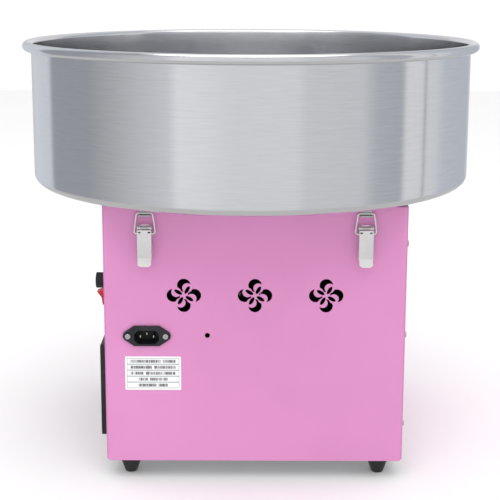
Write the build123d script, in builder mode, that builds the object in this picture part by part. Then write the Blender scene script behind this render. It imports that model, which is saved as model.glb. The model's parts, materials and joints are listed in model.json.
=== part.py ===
from build123d import *
import os

# Cotton candy machine: a square sheet-metal base with a latched drum bowl and a spinning sugar head.
# Millimetres, +Z up. The origin is on the spindle axis at table level. The control panel and the
# drawer face -Y, and the mains inlet faces +X.

# ---- Driving dimensions ------------------------------------------------------------------------
body_width = 320.0
body_depth = 320.0
body_offset = 5.0            # the body's centre lies this far behind the spindle axis
body_height = 281.0
foot_height = 22.0
sheet = 1.2                  # panel thickness
deck_sheet = 1.5             # deck and base thickness
bend = 4.0                   # outer radius of the casing's vertical corners
flange = 16.0                # width of the side panels' return flanges
bowl_radius = 250.0
bowl_sheet = 1.0
bowl_corner = 8.0
bead_radius = 5.2
bowl_rim_z = 462.0
deck_gap = 7.5               # deck top to bowl underside
fit_gap = 0.3                # between pieces that move past each other
running = 0.05               # radial clearance of a pin in its hole

base_z = foot_height
deck_z = base_z + body_height
panel_top = deck_z - deck_sheet
side_x = body_width / 2
front_y = body_offset - body_depth / 2
back_y = body_offset + body_depth / 2
floor_z = deck_z + deck_gap                # underside of the bowl
floor_top = floor_z + bowl_sheet
front_plane = Plane.XZ.offset(-front_y)    # x is X, y is Z, the normal points out of the front
back_plane = Plane.XZ.offset(-back_y)      # x is X, y is Z, the normal points into the body
side_plane = Plane.YZ.offset(side_x)       # x is Y, y is Z, the normal points out of the +X side

panel_width = body_width - 2 * bend
panel_height = panel_top - base_z
panel_mid = base_z + panel_height / 2

# Places on the +X face, as (Y, Z)
latch_ys = [body_offset - 115.0, body_offset + 115.0]
vent_z = 207.4
vent_centres = [(body_offset + step, vent_z) for step in (-75.0, 0.0, 75.0)]
inlet_y = -109.6
inlet_z = 163.1
earth_hole = (-45.4, 163.5)
earth_hole_radius = 2.75

# Mains inlet: the socket body behind its flange, and the panel's cut-out for it
socket_width = 28.6
socket_height = 18.6
socket_depth = 24.0
socket_drop = -1.2
socket_cut_width = 29.0
socket_cut_height = 19.0
socket_screw_y = 20.0
socket_screw_radius = 1.75

# Draw latch, in distances from the side face (out) and heights
pivot_out = 5.5
pivot_z = 281.0
wire_out = 3.8
wire_pivot_z = 275.0
wire_top_z = 296.7
wire_radius = 1.0
latch_pin_radius = 1.5
lever_width = 14.8
lever_sheet = 1.2
lever_face_out = 10.4
latch_rivet_zs = [252.0, 267.0]
latch_rivet_radius = 1.6

# Catches under the bowl
catch_width = 12.4
catch_sheet = 1.5
catch_rivet_xs = [138.0, 150.0]
bowl_rivet_radius = 2.0

# Front controls
control_z = 204.0
switch_z = 199.4
switch_xs = {"power": 130.0, "heat": 48.0}
knob_x = 89.0
bezel_width = 16.0
bezel_height = 24.0
bezel_thickness = 2.0
switch_width = 13.6
switch_height = 21.6
switch_depth = 16.0
rocker_cavity = (11.6, 19.6)
rocker_tilt = 22.0

# Drawer
drawer_front_width = 284.0
drawer_front_low = 43.0
drawer_front_height = 103.0
drawer_front_thickness = 7.0
tray_width = 266.0
tray_depth = 250.0
tray_low = 53.0
tray_height = 86.0
tray_sheet = 1.0
drawer_opening = (272.0, 94.0)
tray_front_y = front_y - fit_gap
drawer_mid_z = drawer_front_low + drawer_front_height / 2

# Drive
shaft_radius = 6.0
motor_plate_z = 281.5
motor_plate_sheet = 2.0
motor_plate_size = 170.0
isolator_spacing = 140.0
motor_radius = 52.0
motor_wall = 2.0
motor_low = 185.0
bearing_radius = 16.0
bearing_length = 10.0
rotor_radius = 28.0
stack_low = 205.0
stack_height = 56.0
shaft_low = 150.0
shaft_top = 364.0
ring_zs = [156.0, 168.0]
ring_height = 6.0
ring_radius = 15.0
sleeve_radius = 11.0
brush_length = 12.0

# Spinner head
head_z = 348.0
head_radius = 74.0
cup_floor = 4.0
cup_rim_z = 368.0
band_height = 24.0
cap_sheet = 3.0
feed_radius = 24.0
head_bolt_circle = 66.0
head_bolt_radius = 2.5

# Feet
foot_inset = 24.0
foot_top_radius = 13.5
foot_low_radius = 7.0
foot_spacing_x = body_width - 2 * foot_inset
foot_spacing_y = body_depth - 2 * foot_inset
foot_screw_radius = 2.5
foot_head_radius = 4.5

# Case screws on the back
case_screw_x = 150.0
case_screw_zs = [62.0, 162.0, 262.0]
case_screw_radius = 1.75
case_head_radius = 3.2

os.makedirs("parts", exist_ok=True)


# ---- Shared outlines -----------------------------------------------------------------------------
# Pinwheel vent: four crescents on a circle with four leaves nested in their bites.
crescent_radius = 7.1
crescent_orbit = 11.1
bite_radius = 5.2
bite_orbit = 8.8
bite_angle = 66.7
leaf_length = 9.3
leaf_width = 4.0
leaf_orbit = 6.85
leaf_angle = 59.0
with BuildSketch() as vent:
    with PolarLocations(crescent_orbit, 4):
        Circle(crescent_radius)
    with PolarLocations(bite_orbit, 4, start_angle=bite_angle):
        Circle(bite_radius, mode=Mode.SUBTRACT)
    with PolarLocations(leaf_orbit, 4, start_angle=leaf_angle):
        Ellipse(leaf_length / 2, leaf_width / 2)

# Side panel in plan: the outer wall of a rounded tube, cut back to its end flanges.
with BuildSketch(Plane.XY.offset(base_z)) as side_section:
    with Locations((0, body_offset)):
        RectangleRounded(body_width, body_depth - 2 * sheet, bend)
        RectangleRounded(body_width - 2 * sheet, body_depth - 4 * sheet, bend - sheet, mode=Mode.SUBTRACT)
    with Locations((side_x, body_offset)):
        Rectangle(2 * flange, body_depth, mode=Mode.INTERSECT)


def screw(plane, places, head_radius, head_height, shank_radius, shank_length):
    """Pan-head screws with a cross recess, heads on the plane's front side."""
    cross_width = head_radius * 0.3
    cross_length = head_radius * 1.2
    with BuildPart() as screws:
        with BuildSketch(plane):
            with Locations(*places):
                Circle(head_radius)
        extrude(amount=head_height)
        fillet(screws.faces().filter_by(plane).group_by(SortBy.AREA)[-1].edges(), head_height * 0.45)
        with BuildSketch(plane.offset(head_height)):
            with Locations(*places):
                Rectangle(cross_length, cross_width)
                Rectangle(cross_width, cross_length)
        extrude(amount=-head_height * 0.55, mode=Mode.SUBTRACT)
        with BuildSketch(plane):
            with Locations(*places):
                Circle(shank_radius)
        extrude(amount=-shank_length)
    return screws


# ---- Casing --------------------------------------------------------------------------------------
def side_panel(name, mirrored):
    """One side of the casing, with return flanges, vents and latch rivet holes."""
    with BuildPart() as panel:
        add(side_section.sketch)
        extrude(amount=panel_height)
        with BuildSketch(side_plane):
            with Locations(*vent_centres):
                add(vent.sketch)
            with Locations(*[(y, z) for y in latch_ys for z in latch_rivet_zs]):
                Circle(latch_rivet_radius)
            if not mirrored:
                with Locations(earth_hole):
                    Circle(earth_hole_radius)
                with Locations((inlet_y, inlet_z + socket_drop)):
                    Rectangle(socket_cut_width, socket_cut_height)
                with Locations((inlet_y - socket_screw_y, inlet_z), (inlet_y + socket_screw_y, inlet_z)):
                    Circle(socket_screw_radius)
        extrude(amount=-2 * sheet, mode=Mode.SUBTRACT)
        with BuildSketch(back_plane):
            with Locations(*[(case_screw_x, z) for z in case_screw_zs]):
                Circle(case_screw_radius)
        extrude(amount=3 * sheet, mode=Mode.SUBTRACT)
        if mirrored:
            mirror(about=Plane.YZ, mode=Mode.REPLACE)
    panel.part.label = name
    export_step(panel.part, f"parts/{name}.step")


side_panel("right_panel", False)
side_panel("left_panel", True)

with BuildPart() as front_panel:
    with BuildSketch(front_plane):
        with Locations((0, panel_mid)):
            Rectangle(panel_width, panel_height)
        with Locations((0, drawer_mid_z)):
            Rectangle(*drawer_opening, mode=Mode.SUBTRACT)
        with Locations(*[(x, switch_z) for x in switch_xs.values()]):
            Rectangle(switch_width + fit_gap, switch_height + fit_gap, mode=Mode.SUBTRACT)
        with Locations((knob_x, control_z)):
            Circle(4.0, mode=Mode.SUBTRACT)
    extrude(amount=-sheet)
front_panel.part.label = "front_panel"
export_step(front_panel.part, "parts/front_panel.step")

case_screw_places = [(x, z) for x in (-case_screw_x, case_screw_x) for z in case_screw_zs]
with BuildPart() as back_panel:
    with BuildSketch(back_plane):
        with Locations((0, panel_mid)):
            Rectangle(panel_width, panel_height)
        with Locations(*case_screw_places):
            Circle(case_screw_radius, mode=Mode.SUBTRACT)
    extrude(amount=sheet)
back_panel.part.label = "back_panel"
export_step(back_panel.part, "parts/back_panel.step")

outside_back = Plane(origin=(0, back_y, 0), x_dir=(-1, 0, 0), z_dir=(0, 1, 0))
case_screws = screw(outside_back, case_screw_places, case_head_radius, 2.0, case_screw_radius, 8.0)
case_screws.part.label = "case_screws"
export_step(case_screws.part, "parts/case_screws.step")

skirt_width = body_width - 2 * sheet - fit_gap
skirt_depth = body_depth - 4 * sheet - fit_gap
skirt_height = 12.0
deck_hole_radius = 30.0
with BuildPart() as top_deck:
    with BuildSketch(Plane.XY.offset(panel_top)):
        with Locations((0, body_offset)):
            RectangleRounded(body_width, body_depth, bend)
        Circle(deck_hole_radius, mode=Mode.SUBTRACT)
    extrude(amount=deck_sheet)
    with BuildSketch(Plane.XY.offset(panel_top)):
        with Locations((0, body_offset)):
            RectangleRounded(skirt_width, skirt_depth, bend)
            Rectangle(skirt_width - 2 * deck_sheet, skirt_depth - 2 * deck_sheet, mode=Mode.SUBTRACT)
    extrude(amount=-skirt_height)
top_deck.part.label = "top_deck"
export_step(top_deck.part, "parts/top_deck.step")

with BuildPart() as base_plate:
    with BuildSketch(Plane.XY.offset(base_z)):
        with Locations((0, body_offset)):
            RectangleRounded(skirt_width, skirt_depth, bend)
            with GridLocations(foot_spacing_x, foot_spacing_y, 2, 2):
                Circle(foot_screw_radius, mode=Mode.SUBTRACT)
    extrude(amount=deck_sheet)
    with BuildSketch(Plane.XY.offset(base_z)):
        with Locations((0, body_offset)):
            RectangleRounded(skirt_width, skirt_depth, bend)
            Rectangle(skirt_width - 2 * deck_sheet, skirt_depth - 2 * deck_sheet, mode=Mode.SUBTRACT)
    extrude(amount=skirt_height)
base_plate.part.label = "base_plate"
export_step(base_plate.part, "parts/base_plate.step")

# ---- Feet ----------------------------------------------------------------------------------------
foot_recess = 7.0
with BuildPart() as feet:
    with Locations((0, body_offset, 0)):
        with GridLocations(foot_spacing_x, foot_spacing_y, 2, 2):
            Cone(foot_low_radius, foot_top_radius, foot_height, align=(Align.CENTER, Align.CENTER, Align.MIN))
    with BuildSketch(Plane.XY):
        with Locations((0, body_offset)):
            with GridLocations(foot_spacing_x, foot_spacing_y, 2, 2):
                Circle(foot_head_radius + fit_gap)
    extrude(amount=foot_recess, mode=Mode.SUBTRACT)
    with BuildSketch(Plane.XY):
        with Locations((0, body_offset)):
            with GridLocations(foot_spacing_x, foot_spacing_y, 2, 2):
                Circle(foot_screw_radius)
    extrude(amount=foot_height, mode=Mode.SUBTRACT)
feet.part.label = "feet"
export_step(feet.part, "parts/feet.step")

foot_places = [
    (x * foot_spacing_x / 2, -(body_offset + y * foot_spacing_y / 2)) for x in (-1, 1) for y in (-1, 1)
]
under_foot = Plane(origin=(0, 0, foot_recess), x_dir=(1, 0, 0), z_dir=(0, 0, -1))
foot_shank = base_z + deck_sheet - foot_recess
foot_screws = screw(under_foot, foot_places, foot_head_radius, 3.0, foot_screw_radius, foot_shank)
foot_screws.part.label = "foot_screws"
export_step(foot_screws.part, "parts/foot_screws.step")

# ---- Bowl ----------------------------------------------------------------------------------------
bead_centre = bowl_radius - bowl_sheet + bead_radius
wall_foot = bowl_radius - bowl_corner
with BuildPart() as bowl_wall:
    with BuildSketch(Plane.XZ):
        with BuildLine():
            Line((wall_foot, floor_z), (wall_foot, floor_top))
            RadiusArc(
                (wall_foot, floor_top), (bowl_radius - bowl_sheet, floor_z + bowl_corner),
                -(bowl_corner - bowl_sheet),
            )
            Line((bowl_radius - bowl_sheet, floor_z + bowl_corner), (bowl_radius - bowl_sheet, bowl_rim_z))
            Line((bowl_radius - bowl_sheet, bowl_rim_z), (bowl_radius, bowl_rim_z))
            Line((bowl_radius, bowl_rim_z), (bowl_radius, floor_z + bowl_corner))
            RadiusArc((bowl_radius, floor_z + bowl_corner), (wall_foot, floor_z), bowl_corner)
        make_face()
        with Locations((bead_centre, bowl_rim_z)):
            Circle(bead_radius)
            Circle(bead_radius - bowl_sheet, mode=Mode.SUBTRACT)
        with Locations((bead_centre - bead_radius / 2, bowl_rim_z - bead_radius)):
            Rectangle(bowl_sheet, bead_radius / 2, mode=Mode.SUBTRACT)
    revolve(axis=Axis.Z)
bowl_wall.part.label = "bowl_wall"
export_step(bowl_wall.part, "parts/bowl_wall.step")

floor_hole_radius = 39.0
floor_lip = 6.0
catch_places = [(side * x, y) for side in (-1, 1) for x in catch_rivet_xs for y in latch_ys]
with BuildPart() as bowl_floor:
    with BuildSketch(Plane.XY.offset(floor_z)):
        Circle(wall_foot)
        with Locations(*catch_places):
            Circle(bowl_rivet_radius, mode=Mode.SUBTRACT)
        Circle(floor_hole_radius, mode=Mode.SUBTRACT)
    extrude(amount=bowl_sheet)
    with BuildSketch(Plane.XY.offset(floor_z)):
        Circle(floor_hole_radius + bowl_sheet)
        Circle(floor_hole_radius, mode=Mode.SUBTRACT)
    extrude(amount=floor_lip)
bowl_floor.part.label = "bowl_floor"
export_step(bowl_floor.part, "parts/bowl_floor.step")

with BuildPart() as bowl_seat_ring:
    with BuildSketch(Plane.XY.offset(deck_z)):
        Circle(125.0)
        Circle(100.0, mode=Mode.SUBTRACT)
    extrude(amount=deck_gap)
bowl_seat_ring.part.label = "bowl_seat_ring"
export_step(bowl_seat_ring.part, "parts/bowl_seat_ring.step")

neck_radius = 38.0
neck_wall = 4.0
with BuildPart() as neck_collar:
    with BuildSketch(Plane.XY.offset(deck_z)):
        Circle(neck_radius + 10.0)
        Circle(neck_radius - neck_wall, mode=Mode.SUBTRACT)
    extrude(amount=2.0)
    with BuildSketch(Plane.XY.offset(deck_z)):
        Circle(neck_radius)
        Circle(neck_radius - neck_wall, mode=Mode.SUBTRACT)
    extrude(amount=26.0)
neck_collar.part.label = "neck_collar"
export_step(neck_collar.part, "parts/neck_collar.step")

# Catch: a flat leg riveted under the bowl, a leg down past the side face, and a foot for the wire.
catch_leg_out = 0.8
catch_foot_out = 6.2
catch_foot_top = wire_top_z - wire_radius - 2 * fit_gap
catch_in_x = 130.0
with BuildPart() as bowl_catches:
    for y in latch_ys:
        with BuildSketch(Plane.XZ.offset(-y)):
            with BuildLine():
                Polyline(
                    (catch_in_x, floor_z),
                    (side_x + catch_leg_out + catch_sheet, floor_z),
                    (side_x + catch_leg_out + catch_sheet, catch_foot_top),
                    (side_x + catch_foot_out, catch_foot_top),
                    (side_x + catch_foot_out, catch_foot_top - catch_sheet),
                    (side_x + catch_leg_out, catch_foot_top - catch_sheet),
                    (side_x + catch_leg_out, floor_z - catch_sheet),
                    (catch_in_x, floor_z - catch_sheet),
                    close=True,
                )
            make_face()
        extrude(amount=catch_width / 2, both=True)
    with BuildSketch(Plane.XY.offset(floor_z)):
        with Locations(*[(x, y) for x in catch_rivet_xs for y in latch_ys]):
            Circle(bowl_rivet_radius)
    extrude(amount=-catch_sheet, mode=Mode.SUBTRACT)
    mirror(about=Plane.YZ)
bowl_catches.part.label = "bowl_catches"
export_step(bowl_catches.part, "parts/bowl_catches.step")

# Rivets of the catches, through the bowl floor, domed on both sides.
rivet_head_radius = 3.6
rivet_head = 1.3
with BuildPart() as bowl_rivets:
    with BuildSketch(Plane.XY.offset(floor_top)):
        with Locations(*catch_places):
            Circle(rivet_head_radius)
    extrude(amount=rivet_head, taper=35)
    with BuildSketch(Plane.XY.offset(floor_z - catch_sheet)):
        with Locations(*catch_places):
            Circle(rivet_head_radius)
    extrude(amount=-rivet_head, taper=35)
    with BuildSketch(Plane.XY.offset(floor_top)):
        with Locations(*catch_places):
            Circle(bowl_rivet_radius)
    extrude(amount=-(bowl_sheet + catch_sheet))
bowl_rivets.part.label = "bowl_rivets"
export_step(bowl_rivets.part, "parts/bowl_rivets.step")


# ---- Draw latches --------------------------------------------------------------------------------
latch_base_width = 15.0
latch_base_low = 246.0
latch_base_high = 284.0
ear_outer = 5.6
ear_sheet = 1.2
ear_radius = 3.0
lever_ear_radius = 3.4
lever_low_z = 249.0


def latch_lever(name, y, mirrored):
    """Channel-shaped lever with two slots near its top and a turned-out, round-ended thumb tab."""
    face_out = side_x + lever_face_out
    tab_out = 4.6
    tab_drop = 7.5
    tab_end_radius = 12.0
    slot_y = 5.2
    slot_z = 277.6
    with BuildPart() as lever:
        with BuildSketch(Plane.XZ.offset(-y)):
            with BuildLine():
                Line((face_out, lever_low_z), (face_out, pivot_z - 1.0))
                Line((face_out, pivot_z - 1.0), (side_x + pivot_out + lever_ear_radius, pivot_z))
                ThreePointArc(
                    (side_x + pivot_out + lever_ear_radius, pivot_z),
                    (side_x + pivot_out, pivot_z + lever_ear_radius),
                    (side_x + pivot_out - lever_ear_radius, pivot_z),
                )
                Polyline(
                    (side_x + pivot_out - lever_ear_radius, pivot_z),
                    (side_x + pivot_out - lever_ear_radius, wire_pivot_z - 3.0),
                    (face_out - 4.0, lever_low_z),
                    (face_out, lever_low_z),
                )
            make_face()
        extrude(amount=lever_width / 2, both=True)
        with BuildSketch(Plane.XZ.offset(-y)):
            with Locations((face_out - lever_sheet, pivot_z)):
                Rectangle(lever_face_out, 100.0, align=(Align.MAX, Align.CENTER))
        extrude(amount=lever_width / 2 - lever_sheet, both=True, mode=Mode.SUBTRACT)
        with BuildSketch(Plane.XZ.offset(-y)):
            with BuildLine():
                Polyline(
                    (face_out - lever_sheet, lever_low_z + 1.0),
                    (face_out, lever_low_z + 1.0),
                    (face_out + tab_out, lever_low_z - tab_drop + 0.5),
                    (face_out + tab_out - 1.0, lever_low_z - tab_drop),
                    (face_out - lever_sheet, lever_low_z),
                    close=True,
                )
            make_face()
        extrude(amount=lever_width / 2 - 0.4, both=True)
        with BuildSketch(side_plane.offset(lever_face_out - 2 * lever_sheet)):
            with Locations((y, lever_low_z)):
                Rectangle(2 * lever_width, 2 * tab_drop, align=(Align.CENTER, Align.MAX))
            with Locations((y, lever_low_z - tab_drop + tab_end_radius)):
                Circle(tab_end_radius, mode=Mode.SUBTRACT)
            with Locations((y - slot_y, slot_z), (y + slot_y, slot_z)):
                Rectangle(2.8, 1.6)
        extrude(amount=2 * tab_out, mode=Mode.SUBTRACT)
        with BuildSketch(Plane.XZ.offset(-y)):
            with Locations((side_x + pivot_out, pivot_z)):
                Circle(latch_pin_radius + running)
            with Locations((side_x + wire_out, wire_pivot_z)):
                Circle(wire_radius + running)
        extrude(amount=lever_width, both=True, mode=Mode.SUBTRACT)
        if mirrored:
            mirror(about=Plane.YZ, mode=Mode.REPLACE)
    lever.part.label = name
    export_step(lever.part, f"parts/{name}.step")


def latch_bail(name, y, mirrored):
    """Wire loop, hooked under the catch's foot and hinged in the lever's walls."""
    end_y = ear_outer + fit_gap + running
    low_y = 11.2
    top_y = 8.3
    with BuildPart() as bail:
        with BuildLine(Plane.YZ.offset(side_x + wire_out)):
            FilletPolyline(
                (y - end_y, wire_pivot_z),
                (y - low_y, wire_pivot_z),
                (y - top_y, wire_top_z),
                (y + top_y, wire_top_z),
                (y + low_y, wire_pivot_z),
                (y + end_y, wire_pivot_z),
                radius=2.6,
            )
        with BuildSketch(Plane(origin=(side_x + wire_out, y - end_y, wire_pivot_z), z_dir=(0, -1, 0))):
            Circle(wire_radius)
        sweep()
        if mirrored:
            mirror(about=Plane.YZ, mode=Mode.REPLACE)
    bail.part.label = name
    export_step(bail.part, f"parts/{name}.step")


for side_name, mirrored in (("right", False), ("left", True)):
    for end_name, latch_y in zip(("front", "back"), latch_ys):
        latch_lever(f"latch_lever_{side_name}_{end_name}", latch_y, mirrored)
        latch_bail(f"latch_bail_{side_name}_{end_name}", latch_y, mirrored)

# Base plates of the four latches, each with two ears that carry the lever's pin.
with BuildPart() as latch_bases:
    with BuildSketch(side_plane):
        with Locations(*[(y, (latch_base_low + latch_base_high) / 2) for y in latch_ys]):
            RectangleRounded(latch_base_width, latch_base_high - latch_base_low, 2.0)
        with Locations(*[(y, z) for y in latch_ys for z in latch_rivet_zs]):
            Circle(latch_rivet_radius, mode=Mode.SUBTRACT)
    extrude(amount=lever_sheet)
    for y in latch_ys:
        for ear_low in (y - ear_outer, y + ear_outer - ear_sheet):
            with BuildSketch(Plane.XZ.offset(-ear_low)):
                with Locations((side_x + lever_sheet / 2, pivot_z)):
                    Rectangle(pivot_out - lever_sheet / 2, 2 * ear_radius, align=(Align.MIN, Align.CENTER))
                with Locations((side_x + pivot_out, pivot_z)):
                    Circle(ear_radius)
                    Circle(latch_pin_radius, mode=Mode.SUBTRACT)
            extrude(amount=-ear_sheet)
    mirror(about=Plane.YZ)
latch_bases.part.label = "latch_bases"
export_step(latch_bases.part, "parts/latch_bases.step")

with BuildPart() as latch_pins:
    for y in latch_ys:
        with BuildSketch(Plane.XZ.offset(-y)):
            with Locations((side_x + pivot_out, pivot_z)):
                Circle(latch_pin_radius)
        extrude(amount=lever_width / 2 + fit_gap, both=True)
    mirror(about=Plane.YZ)
latch_pins.part.label = "latch_pins"
export_step(latch_pins.part, "parts/latch_pins.step")

latch_rivet_places = [(y, z) for y in latch_ys for z in latch_rivet_zs]
with BuildPart() as latch_rivets:
    with BuildSketch(side_plane.offset(lever_sheet)):
        with Locations(*latch_rivet_places):
            Circle(2 * latch_rivet_radius)
    extrude(amount=1.0, taper=30)
    with BuildSketch(side_plane.offset(lever_sheet)):
        with Locations(*latch_rivet_places):
            Circle(latch_rivet_radius)
    extrude(amount=-(lever_sheet + sheet))
    with BuildSketch(side_plane.offset(-sheet)):
        with Locations(*latch_rivet_places):
            Circle(1.6 * latch_rivet_radius)
    extrude(amount=-1.0)
    mirror(about=Plane.YZ)
latch_rivets.part.label = "latch_rivets"
export_step(latch_rivets.part, "parts/latch_rivets.step")

# ---- Mains inlet ---------------------------------------------------------------------------------
flange_thickness = 3.0
flange_height = 22.0
flange_flat = 27.0
flange_end_radius = 5.4
recess_width = 26.0
recess_height = 15.0
recess_depth = 17.0
recess_chamfer = 4.0
inlet_plane = side_plane.offset(flange_thickness)
recess_z = inlet_z + socket_drop
with BuildPart() as inlet_housing:
    with BuildSketch(side_plane):
        with Locations((inlet_y, inlet_z)):
            Rectangle(flange_flat, flange_height)
        with Locations((inlet_y - socket_screw_y, inlet_z), (inlet_y + socket_screw_y, inlet_z)):
            Circle(flange_end_radius)
        make_hull()
    extrude(amount=flange_thickness)
    fillet(inlet_housing.faces().sort_by(Axis.X)[-1].edges(), 0.8)
    with BuildSketch(side_plane):
        with Locations((inlet_y, recess_z)):
            Rectangle(socket_width, socket_height)
    extrude(amount=-socket_depth)
    with BuildSketch(inlet_plane) as recess:
        with Locations((inlet_y, recess_z)):
            Rectangle(recess_width, recess_height)
        chamfer(recess.vertices().group_by(Axis.Z)[-1], recess_chamfer)
    extrude(amount=-recess_depth, mode=Mode.SUBTRACT)
    with BuildSketch(inlet_plane):
        with Locations((inlet_y - socket_screw_y, inlet_z), (inlet_y + socket_screw_y, inlet_z)):
            Circle(socket_screw_radius)
    extrude(amount=-2 * flange_thickness, mode=Mode.SUBTRACT)
    with BuildSketch(inlet_plane):
        with Locations((inlet_y - 7.0, recess_z - 0.3), (inlet_y, recess_z + 2.8), (inlet_y + 7.0, recess_z - 0.3)):
            Rectangle(2.0, 4.0)
    extrude(amount=-2 * socket_depth, mode=Mode.SUBTRACT)
inlet_housing.part.label = "inlet_housing"
export_step(inlet_housing.part, "parts/inlet_housing.step")

with BuildPart() as inlet_pins:
    with BuildSketch(inlet_plane.offset(-flange_thickness)):
        with Locations((inlet_y - 7.0, recess_z - 0.3), (inlet_y, recess_z + 2.8), (inlet_y + 7.0, recess_z - 0.3)):
            Rectangle(2.0, 4.0)
    extrude(amount=-(socket_depth + 8.0))
inlet_pins.part.label = "inlet_pins"
export_step(inlet_pins.part, "parts/inlet_pins.step")

socket_screw_places = [(inlet_y - socket_screw_y, inlet_z), (inlet_y + socket_screw_y, inlet_z)]
inlet_screws = screw(inlet_plane, socket_screw_places, 3.0, 1.8, socket_screw_radius, 12.0)
inlet_screws.part.label = "inlet_screws"
export_step(inlet_screws.part, "parts/inlet_screws.step")

label_width = 59.7
label_height = 37.5
label_centre = (-103.4, 121.2)
with BuildPart() as rating_label:
    with BuildSketch(side_plane):
        with Locations(label_centre):
            RectangleRounded(label_width, label_height, 1.0)
    extrude(amount=0.3)
rating_label.part.label = "rating_label"
export_step(rating_label.part, "parts/rating_label.step")


# ---- Front controls ------------------------------------------------------------------------------
rocker_width = rocker_cavity[0] - 2 * fit_gap
rocker_pin_radius = 1.5
for switch_name, switch_x in switch_xs.items():
    with BuildPart() as switch_body:
        with BuildSketch(front_plane):
            with Locations((switch_x, switch_z)):
                RectangleRounded(bezel_width, bezel_height, 2.0)
        extrude(amount=bezel_thickness)
        chamfer(switch_body.faces().sort_by(Axis.Y)[0].edges(), 0.7)
        with BuildSketch(front_plane):
            with Locations((switch_x, switch_z)):
                Rectangle(switch_width, switch_height)
        extrude(amount=-switch_depth)
        with BuildSketch(front_plane.offset(bezel_thickness)):
            with Locations((switch_x, switch_z)):
                Rectangle(*rocker_cavity)
        extrude(amount=-switch_depth, mode=Mode.SUBTRACT)
        with BuildSketch(Plane.YZ.offset(switch_x)):
            with Locations((front_y, switch_z)):
                Circle(rocker_pin_radius + running)
        extrude(amount=switch_width / 2, both=True, mode=Mode.SUBTRACT)
    switch_body.part.label = f"{switch_name}_switch_body"
    export_step(switch_body.part, f"parts/{switch_name}_switch_body.step")

    rocker_inward = Vector(0, 1, 0).rotate(Axis.X, rocker_tilt)
    rocker_plane = Plane(origin=(switch_x, front_y, switch_z), x_dir=rocker_inward, z_dir=(1, 0, 0))
    with BuildPart() as rocker:
        with BuildSketch(rocker_plane):
            with BuildLine():
                Polyline(
                    (-7.6, 8.0), (-5.5, 0.0), (-7.6, -8.0), (3.0, -7.0), (5.5, -4.5), (5.5, 4.5), (3.0, 7.0),
                    close=True,
                )
            make_face()
        extrude(amount=rocker_width / 2, both=True)
        with BuildSketch(rocker_plane):
            Circle(rocker_pin_radius)
        extrude(amount=switch_width / 2 - fit_gap, both=True)
    rocker.part.label = f"{switch_name}_rocker"
    export_step(rocker.part, f"parts/{switch_name}_rocker.step")

knob_radius = 8.4
knob_length = 16.0
knob_stand = 1.0
spindle_radius = 3.0
spindle_length = 12.0
with BuildPart() as heat_knob:
    with BuildSketch(front_plane.offset(knob_stand)):
        with Locations((knob_x, control_z)):
            Circle(knob_radius)
    extrude(amount=knob_length, taper=-1.5)
    fillet(heat_knob.faces().sort_by(Axis.Y)[0].edges(), 1.0)
    with BuildSketch(front_plane.offset(knob_stand + 3.0)):
        with Locations((knob_x, control_z)):
            with PolarLocations(knob_radius + 1.0, 16):
                Circle(1.1)
    extrude(amount=knob_length, mode=Mode.SUBTRACT)
    with BuildSketch(front_plane.offset(knob_stand + knob_length)):
        with Locations((knob_x, control_z + knob_radius / 2)):
            Rectangle(1.2, knob_radius - 1.0)
    extrude(amount=-0.6, mode=Mode.SUBTRACT)
    with BuildSketch(front_plane.offset(knob_stand)):
        with Locations((knob_x, control_z)):
            Circle(spindle_radius)
    extrude(amount=-spindle_length)
heat_knob.part.label = "heat_knob"
export_step(heat_knob.part, "parts/heat_knob.step")

with BuildPart() as heat_control:
    with BuildSketch(front_plane.offset(-sheet)):
        with Locations((knob_x, control_z)):
            Circle(12.0)
    extrude(amount=-16.0)
    with BuildSketch(front_plane.offset(0.5)):
        with Locations((knob_x, control_z)):
            Circle(3.9)
    extrude(amount=-(0.5 + sheet))
    with BuildSketch(front_plane.offset(0.5)):
        with Locations((knob_x, control_z)):
            Circle(spindle_radius + running)
    extrude(amount=-spindle_length, mode=Mode.SUBTRACT)
heat_control.part.label = "heat_control"
export_step(heat_control.part, "parts/heat_control.step")

# ---- Drawer --------------------------------------------------------------------------------------
drawer_plane = Plane.XZ.offset(-tray_front_y)
with BuildPart() as drawer_front:
    with BuildSketch(drawer_plane):
        with Locations((0, drawer_mid_z)):
            RectangleRounded(drawer_front_width, drawer_front_height, 3.0)
    extrude(amount=drawer_front_thickness)
    fillet(drawer_front.faces().sort_by(Axis.Y)[0].edges(), 1.2)
drawer_front.part.label = "drawer_front"
export_step(drawer_front.part, "parts/drawer_front.step")

tray_mid_y = tray_front_y + tray_depth / 2
with BuildPart() as drawer_tray:
    with BuildSketch(Plane.XY.offset(tray_low)):
        with Locations((0, tray_mid_y)):
            Rectangle(tray_width, tray_depth)
    extrude(amount=tray_height)
    with BuildSketch(Plane.XY.offset(tray_low + tray_sheet)):
        with Locations((0, tray_mid_y)):
            Rectangle(tray_width - 2 * tray_sheet, tray_depth - 2 * tray_sheet)
    extrude(amount=tray_height, mode=Mode.SUBTRACT)
drawer_tray.part.label = "drawer_tray"
export_step(drawer_tray.part, "parts/drawer_tray.step")

handle_half = 32.0
handle_reach = 13.0
handle_radius = 3.0
handle_y = tray_front_y - drawer_front_thickness
with BuildPart() as drawer_handle:
    with BuildLine():
        FilletPolyline(
            (-handle_half, handle_y, drawer_mid_z),
            (-handle_half, handle_y - handle_reach + handle_radius, drawer_mid_z),
            (handle_half, handle_y - handle_reach + handle_radius, drawer_mid_z),
            (handle_half, handle_y, drawer_mid_z),
            radius=8.0,
        )
    with BuildSketch(Plane(origin=(-handle_half, handle_y, drawer_mid_z), z_dir=(0, -1, 0))):
        Circle(handle_radius)
    sweep()
drawer_handle.part.label = "drawer_handle"
export_step(drawer_handle.part, "parts/drawer_handle.step")

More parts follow.
